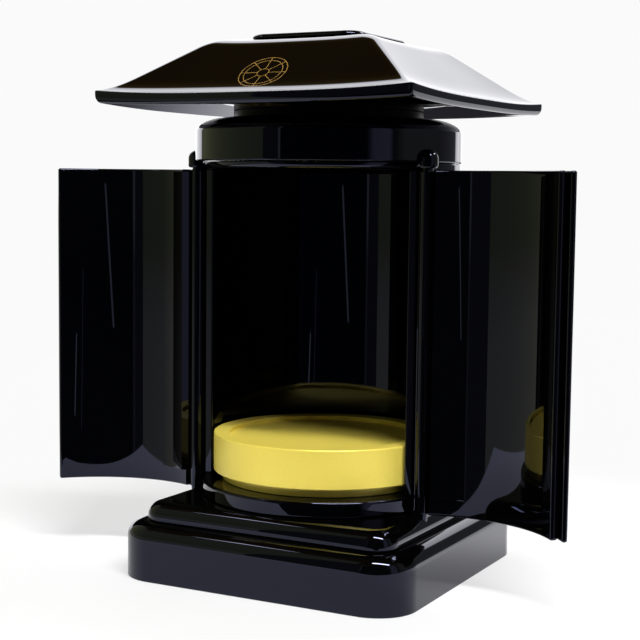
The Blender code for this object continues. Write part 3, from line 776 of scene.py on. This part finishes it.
def lacquer(name, shift, emblem=False, dull=False):
    """Polished black lacquer with faint waves, wipe marks and a little dust where it faces up."""
    material = bpy.data.materials.new(name)
    graph = Graph(material)
    where = graph.place()
    moved = graph.add("ShaderNodeVectorMath", {0: where, 1: (shift, 2 * shift, -shift)}).outputs[0]
    colour = graph.mix(graph.noise(moved, BLACK_PATCHES), *BLACKS)
    wipes = graph.noise(graph.stretched(moved, WIPE_STRETCH), scale=1.0, detail=4.0, roughness=0.6)
    roughness = graph.span(wipes, *WIPE_SPREAD, *WIPE_ROUGHNESS)
    cells = graph.add("ShaderNodeTexVoronoi", {"Vector": moved, "Scale": DUST_CELLS})
    chosen = graph.add("ShaderNodeSeparateColor", {"Color": cells.outputs["Color"]}).outputs[0]
    speck = graph.span(cells.outputs["Distance"], *DUST_RADIUS)
    speck = graph.math("MULTIPLY", speck, graph.span(chosen, *DUST_CHOICE))
    normal = graph.add("ShaderNodeNewGeometry").outputs["Normal"]
    facing = graph.add("ShaderNodeSeparateXYZ", {"Vector": normal}).outputs["Z"]
    dust = graph.math("MULTIPLY", speck, graph.span(facing, *DUST_FACING, *DUST_SHARE))
    colour = graph.mix(dust, colour, DUST_COLOUR)
    roughness = graph.math("ADD", roughness, graph.math("MULTIPLY", dust, DUST_ROUGHNESS))
    normal = None
    for scale, detail, depth in WAVES:
        normal = graph.bump(graph.noise(moved, scale, detail), depth, normal)
    metallic = 0.0
    if emblem:
        worn = graph.noise(where, EMBLEM_WEAR, detail=4.0, roughness=0.7)
        worn = graph.span(worn, *EMBLEM_WEAR_SPREAD, EMBLEM_THINNEST, 1.0)
        mask = graph.math("MULTIPLY", wheel_mask(graph, where), worn)
        shade = graph.mix(graph.noise(where, EMBLEM_PATCHES), *EMBLEM_GOLDS)
        colour = graph.mix(mask, colour, shade)
        roughness = graph.mix(mask, roughness, EMBLEM_ROUGHNESS)
        metallic = graph.math("MULTIPLY", mask, EMBLEM_METALLIC)
    if dull:
        roughness = graph.math("ADD", roughness, DULL_ROUGHNESS)
    shader = graph.add(
        "ShaderNodeBsdfPrincipled",
        {
            "Base Color": colour,
            "Roughness": roughness,
            "Specular IOR Level": DULL_SPECULAR if dull else LACQUER_SPECULAR,
            "Metallic": metallic,
            "IOR": LACQUER_IOR,
            "Specular Tint": LACQUER_TINT,
            "Normal": normal,
        },
    )
    graph.add("ShaderNodeOutputMaterial", {"Surface": shader.outputs[0]})
    return material


def gold_lacquer(name):
    """Satin gold paint with a fine grain."""
    material = bpy.data.materials.new(name)
    graph = Graph(material)
    where = graph.place()
    colour = graph.mix(graph.noise(where, GOLD_PATCHES, detail=4.0, roughness=0.6), *GOLDS)
    grain = graph.noise(where, GOLD_GRAIN, detail=2.0, roughness=0.6)
    colour = graph.mix(graph.span(grain, *GRAIN_SPREAD, 0.0, GRAIN_SHARE), colour, GRAIN_COLOUR)
    rubbed = graph.noise(graph.stretched(where, RUB_STRETCH), scale=1.0)
    shader = graph.add(
        "ShaderNodeBsdfPrincipled",
        {
            "Base Color": colour,
            "Roughness": graph.span(rubbed, *RUB_SPREAD, *GOLD_ROUGHNESS),
            "Metallic": GOLD_METALLIC,
            "Normal": graph.bump(grain, GRAIN_DEPTH),
        },
    )
    graph.add("ShaderNodeOutputMaterial", {"Surface": shader.outputs[0]})
    return material


def dress(made):
    """Each fine piece stands for its CAD node, rides on the same body and gets its material."""
    bodies = {}
    for body, nodes in frame["record"]["behaviour"]["bodies"].items():
        bodies.update({node: body for node in nodes})
    for index, node in enumerate(sorted(made)):
        piece = made[node]
        if node == "gold_stand":
            material = gold_lacquer("satin_gold")
        elif node == "roof":
            material = lacquer("roof_lacquer", ROOF_SHIFT, emblem=True)
        else:
            material = lacquer(f"lacquer_{node}", PIECE_SHIFT * index, dull=node == "neck")
        piece.data.materials.clear()
        piece.data.materials.append(material)
        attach(piece, bodies[node])
        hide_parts(node)


# Surroundings; bearings are in degrees, 0 to the front and 90 to the right

WHITE = (1.0, 1.0, 1.02, 1)
BACKDROP = (0.955, 0.955, 0.955, 1)

TABLE_TURN = 27.735
TABLE_LEFT = -0.316
TABLE_FRONT = -0.205
TABLE_SPACING = 0.05
TABLE_STEPS = 34
TABLE_PATCHES = 9.0
TABLE_GREYS = ((0.37, 0.37, 0.373, 1), (0.39, 0.39, 0.39, 1))
TABLE_SLANT = 0.5
TABLE_BACK = (0.06, 0.17)
TABLE_FADE = (0.20, 0.34)
TABLE_NEAR_GLOW = 0.50
# Painted pool of light on the table behind the altar on the right, seen only in reflections
TABLE_BACK_GLOW = 1.15
# Painted bounce light: the table glows for diffuse rays only
TABLE_BOUNCE = 1.1
TABLE_FAR_GLOW = 0.96
TABLE_MIRRORED_GLOW = 1.38

WHITE_LEFT_END = -112.0
WHITE_RIGHT_END = 168.0
WHITE_TOP = (42.0, 45.5)
# Colours around the room, by bearing
ROOM = (
    (-180, (0.28, 0.29, 0.40)),
    (-112, (0.30, 0.27, 0.20)),
    (-100, (0.12, 0.13, 0.10)),
    (-60, (0.014, 0.018, 0.022)),
    (60, (0.014, 0.018, 0.026)),
    (66, (0.36, 0.36, 0.42)),
    (80, (0.40, 0.40, 0.46)),
    (84, (0.05, 0.05, 0.05)),
    (95, (0.25, 0.26, 0.19)),
    (118, (0.20, 0.20, 0.17)),
    (135, (0.12, 0.12, 0.12)),
    (180, (0.12, 0.125, 0.15)),
)
CEILING_LOW = (0.120, 0.074, 0.023, 1)
CEILING_HIGH = (0.066, 0.038, 0.006, 1)
CEILING_HEIGHTS = (0.72, 0.81)
LEFT_FADE = 0.004
RIGHT_FADE = 0.006
REAR_TURNS = (0.0, 0.15)
REAR_STRENGTHS = (1.4, 2.1)
REAR_HEIGHTS = (0.05, 0.30)
UPPER_HEIGHTS = (0.30, 0.68)
UPPER_STRENGTHS = (1.85, 2.9)
HORIZON_HEIGHTS = (-0.025, 0.0)
# Colours below the horizon behind and to the left, by bearing
HORIZON = (
    (-180, (0.20, 0.20, 0.22)),
    (-166, (0.02, 0.02, 0.025)),
    (-156, (0.02, 0.02, 0.025)),
    (-150, (0.56, 0.56, 0.60)),
    (-147, (0.24, 0.24, 0.28)),
    (-144, (0.03, 0.03, 0.04)),
    (-138, (0.03, 0.03, 0.04)),
    (-126, (0.50, 0.50, 0.52)),
    (-112, (0.56, 0.56, 0.56)),
)

# Colours of the panels, by height
WALL_TONES = (
    (-0.15, (0.50, 0.49, 0.37)),
    (0.06, (0.50, 0.49, 0.37)),
    (0.10, (0.42, 0.42, 0.30)),
    (0.15, (0.30, 0.32, 0.17)),
    (0.30, (0.34, 0.36, 0.19)),
    (0.65, (0.33, 0.35, 0.21)),
    (0.90, (0.05, 0.04, 0.02)),
)
EDGE_TONES = ((-0.40, (0.17, 0.17, 0.17)), (0.10, (0.17, 0.17, 0.17)), (0.16, (0.45, 0.45, 0.43)))
# Name, corners in plan, bottom, top and colours
PANELS = (
    ("light_wall", ((-0.235, -0.49), (-0.60, -0.33), (-0.75, 0.17)), -0.15, 0.90, WALL_TONES),
    ("dim_wall", ((-0.252, -1.03), (-1.10, -0.90)), -0.40, 1.00, ((0.0, (0.08, 0.08, 0.085)),)),
    ("dim_wall_edge", ((-0.216, -1.03), (-0.252, -1.03)), -0.40, 1.00, EDGE_TONES),
)
# Name, lower end, upper end, width and colour
STRIPS = (
    ("near_strip", (0.100, -1.030, 0.020), (0.235, -1.030, 0.200), 0.030, (0.58, 0.58, 0.60)),
    ("far_strip", (1.90, -2.30, -0.45), (1.82, -2.36, -0.02), 0.060, (0.20, 0.20, 0.22)),
    ("low_strip", (1.60, -1.60, -0.30), (1.55, -1.66, -0.12), 0.050, (0.80, 0.80, 0.85)),
)


def sheet(name, rows):
    """Open surface through rows of points."""
    work = bmesh.new()
    grid = [[work.verts.new(spot) for spot in row] for row in rows]
    for low, high in zip(grid, grid[1:]):
        for index in range(len(low) - 1):
            work.faces.new((low[index], low[index + 1], high[index + 1], high[index]))
    bmesh.ops.recalc_face_normals(work, faces=work.faces)
    mesh = bpy.data.meshes.new(name)
    work.to_mesh(mesh)
    work.free()
    surface = finished(name, mesh)
    return surface


def build_table():
    """Pale table, square to the camera; it passes into the pale surroundings away from the altar. It also
    glows: evenly near the altar, with a painted pool of light behind it on the right that only reflections
    show, and a painted bounce light that only diffuse rays see.
    """
    turn = Matrix.Rotation(math.radians(TABLE_TURN), 2)
    rows = []
    for row in range(TABLE_STEPS + 1):
        depth = TABLE_FRONT + row * TABLE_SPACING
        sides = [TABLE_LEFT + column * TABLE_SPACING for column in range(TABLE_STEPS + 1)]
        spots = [turn @ Vector((side, depth)) for side in sides]
        rows.append([(spot.x, spot.y, 0) for spot in spots])
    table = sheet("table", rows)
    material = bpy.data.materials.new("table_paint")
    graph = Graph(material)
    where = graph.place()
    parts = graph.add("ShaderNodeSeparateXYZ", {"Vector": where})
    distance = graph.add("ShaderNodeVectorMath", {0: where}, operation="LENGTH").outputs["Value"]
    colour = graph.mix(graph.noise(where, TABLE_PATCHES), *TABLE_GREYS)
    lit = graph.add("ShaderNodeBsdfDiffuse", {"Color": colour})
    back = graph.math("ADD", graph.math("MULTIPLY", parts.outputs["X"], TABLE_SLANT), parts.outputs["Y"])
    path = graph.add("ShaderNodeLightPath")
    seen = path.outputs["Is Camera Ray"]
    # Painted bounce light, which only diffuse rays see
    bounce = graph.math("MULTIPLY", path.outputs["Is Diffuse Ray"], TABLE_BOUNCE)
    # Painted pool of light behind the altar on the right; the camera sees only the even glow
    back_glow = graph.span(seen, 0, 1, TABLE_BACK_GLOW, TABLE_NEAR_GLOW, smooth=False)
    glow = graph.math("ADD", graph.span(back, *TABLE_BACK, TABLE_NEAR_GLOW, back_glow), bounce)
    emission = graph.add("ShaderNodeEmission", {"Color": WHITE, "Strength": glow})
    near = graph.add("ShaderNodeAddShader", {0: lit.outputs[0], 1: emission.outputs[0]})
    far_glow = graph.span(seen, 0, 1, TABLE_MIRRORED_GLOW, TABLE_FAR_GLOW, smooth=False)
    far = graph.add("ShaderNodeEmission", {"Color": (1, 1, 1, 1), "Strength": far_glow})
    away = graph.span(distance, *TABLE_FADE)
    shader = graph.add("ShaderNodeMixShader", {0: away, 1: near.outputs[0], 2: far.outputs[0]})
    graph.add("ShaderNodeOutputMaterial", {"Surface": shader.outputs[0]})
    table.data.materials.append(material)


def ramp(graph, value, stops):
    """Colour that passes through stops given as (place from 0 to 1, colour)."""
    node = graph.add("ShaderNodeValToRGB", {"Fac": value})
    elements = node.color_ramp.elements
    while len(elements) < len(stops):
        elements.new(0.5)
    for element, (place, colour) in zip(elements, stops):
        element.position = place
        element.color = (*colour, 1)
    return node.outputs["Color"]


def hidden_glow(surface, stops, bottom, top):
    """Give a panel its light by height, and keep it out of the camera's sight and out of shadows."""
    material = bpy.data.materials.new(surface.name)
    graph = Graph(material)
    height = graph.add("ShaderNodeSeparateXYZ", {"Vector": graph.place()}).outputs["Z"]
    share = graph.span(height, bottom, top, smooth=False)
    placed = [((level - bottom) / (top - bottom), colour) for level, colour in stops]
    if len(placed) == 1:
        placed.append((1.0, placed[0][1]))
    colour = ramp(graph, share, placed)
    glow = graph.add("ShaderNodeEmission", {"Color": colour, "Strength": 1.0})
    graph.add("ShaderNodeOutputMaterial", {"Surface": glow.outputs[0]})
    surface.data.materials.append(material)
    surface.visible_camera = False
    surface.visible_shadow = False


def build_panels():
    """Walls and light stands of the studio in front of the altar, which the lacquer mirrors."""
    for name, plan, bottom, top, tones in PANELS:
        surface = sheet(name, [[(x, y, level) for x, y in plan] for level in (bottom, top)])
        hidden_glow(surface, tones, bottom, top)
    for name, low, high, width, colour in STRIPS:
        shift = Vector((width / 2, 0, 0))
        rows = [[Vector(spot) - shift, Vector(spot) + shift] for spot in (low, high)]
        hidden_glow(sheet(name, rows), ((low[2], colour),), low[2], high[2])


def on_circle(stops):
    """Stops given by bearing in degrees, placed from 0 to 1."""
    return [(angle / 360 + 0.5, colour) for angle, colour in stops]


def build_world():
    """White screens behind and to the left, a dark room in front with a paler right side, a brown ceiling."""
    world = bpy.data.worlds.new("studio")
    bpy.context.scene.world = world
    graph = Graph(world)
    direction = graph.add("ShaderNodeTexCoord").outputs["Generated"]
    parts = graph.add("ShaderNodeSeparateXYZ", {"Vector": direction})
    height = parts.outputs["Z"]
    bearing = graph.math("ARCTAN2", parts.outputs["X"], graph.math("MULTIPLY", parts.outputs["Y"], -1.0))
    turns = graph.math("ADD", graph.math("MULTIPLY", bearing, 0.5 / math.pi), 0.5)
    low, high = (math.sin(math.radians(angle)) for angle in WHITE_TOP)
    overhead = graph.mix(graph.span(height, *CEILING_HEIGHTS), CEILING_LOW, CEILING_HIGH)
    room = graph.mix(graph.span(height, low, high), ramp(graph, turns, on_circle(ROOM)), overhead)
    left_edge = WHITE_LEFT_END / 360 + 0.5
    left = graph.span(turns, left_edge + LEFT_FADE, left_edge - LEFT_FADE)
    right_edge = WHITE_RIGHT_END / 360 + 0.5
    right = graph.span(turns, right_edge - RIGHT_FADE, right_edge + RIGHT_FADE)
    behind = graph.math("MULTIPLY", graph.math("MAXIMUM", left, right), graph.span(height, high, low))
    rear = graph.span(turns, *REAR_TURNS, *REAR_STRENGTHS)
    upper = graph.span(height, *UPPER_HEIGHTS, *UPPER_STRENGTHS)
    strength = graph.span(height, *REAR_HEIGHTS, rear, upper)
    horizon = ramp(graph, turns, on_circle(HORIZON))
    pale = graph.mix(graph.span(height, *HORIZON_HEIGHTS), horizon, WHITE)
    strength = graph.span(height, *HORIZON_HEIGHTS, 1.0, strength)
    white = graph.add("ShaderNodeBackground", {"Color": pale, "Strength": strength})
    dark = graph.add("ShaderNodeBackground", {"Color": room, "Strength": 1.0})
    mirrored_light = graph.add("ShaderNodeMixShader", {0: behind, 1: dark.outputs[0], 2: white.outputs[0]})
    seen = graph.add("ShaderNodeBackground", {"Color": BACKDROP, "Strength": 1.0})
    path = graph.add("ShaderNodeLightPath")
    shader = graph.add(
        "ShaderNodeMixShader",
        {0: path.outputs["Is Camera Ray"], 1: mirrored_light.outputs[0], 2: seen.outputs[0]},
    )
    graph.add("ShaderNodeOutputWorld", {"Surface": shader.outputs[0]})


LAMP_TARGET = (0, 0, 0.1)
# Name, place, turn in degrees, width, height and radiance
LAMPS = (
    ("key_lamp", (0.60, -0.53, 1.27), 11, 1.0, 0.12, 76.0),
    ("back_lamp", (0.737, 0.737, 1.179), 135, 0.5, 0.36, 16.0),
    ("left_lamp", (-0.783, -0.489, 1.282), -58, 0.16, 0.16, 10.0),
)


def add_lamp(name, place, turn, width, height, radiance):
    """Soft lamp that faces the altar; its long side is level and at this turn from the X axis."""
    lamp = bpy.data.lights.new(name, "AREA")
    lamp.shape = "RECTANGLE"
    lamp.size = width
    lamp.size_y = height
    lamp.energy = radiance * math.pi * width * height
    holder = bpy.data.objects.new(name, lamp)
    bpy.context.scene.collection.objects.link(holder)
    along = Vector((math.cos(math.radians(turn)), math.sin(math.radians(turn)), 0))
    away = Vector(place) - Vector(LAMP_TARGET)
    away = (away - away.project(along)).normalized()
    matrix = Matrix((along, away.cross(along), away)).transposed().to_4x4()
    matrix.translation = Vector(place)
    holder.matrix_world = matrix
    holder.visible_camera = False


CAMERA_PLACE = (0.34524, -0.66383, 0.19810)
CAMERA_YAW = 27.735
CAMERA_PITCH = 5.263
CAMERA_ROLL = 0.634
CAMERA_LENS = 80.68
SENSOR_WIDTH = 36
CLIP_START = 0.01


def build_camera():
    yaw, pitch, roll = (math.radians(angle) for angle in (CAMERA_YAW, CAMERA_PITCH, CAMERA_ROLL))
    forward = Vector((-math.sin(yaw) * math.cos(pitch), math.cos(yaw) * math.cos(pitch), -math.sin(pitch)))
    level = Vector((math.cos(yaw), math.sin(yaw), 0))
    upward = level.cross(forward)
    right = level * math.cos(roll) + upward * math.sin(roll)
    top = upward * math.cos(roll) - level * math.sin(roll)
    data = bpy.data.cameras.new("camera")
    data.sensor_width = SENSOR_WIDTH
    data.lens = CAMERA_LENS
    data.clip_start = CLIP_START
    camera = bpy.data.objects.new("camera", data)
    bpy.context.scene.collection.objects.link(camera)
    matrix = Matrix((right, top, -forward)).transposed().to_4x4()
    matrix.translation = Vector(CAMERA_PLACE)
    camera.matrix_world = matrix
    bpy.context.scene.camera = camera


def main():
    made = {}
    for build in (build_base, build_cabin, build_stand, build_cap, build_doors, build_roof):
        made.update(build())
    dress(made)
    build_table()
    build_panels()
    build_world()
    for lamp in LAMPS:
        add_lamp(*lamp)
    build_camera()
    bpy.context.scene.view_settings.view_transform = "Standard"


main()
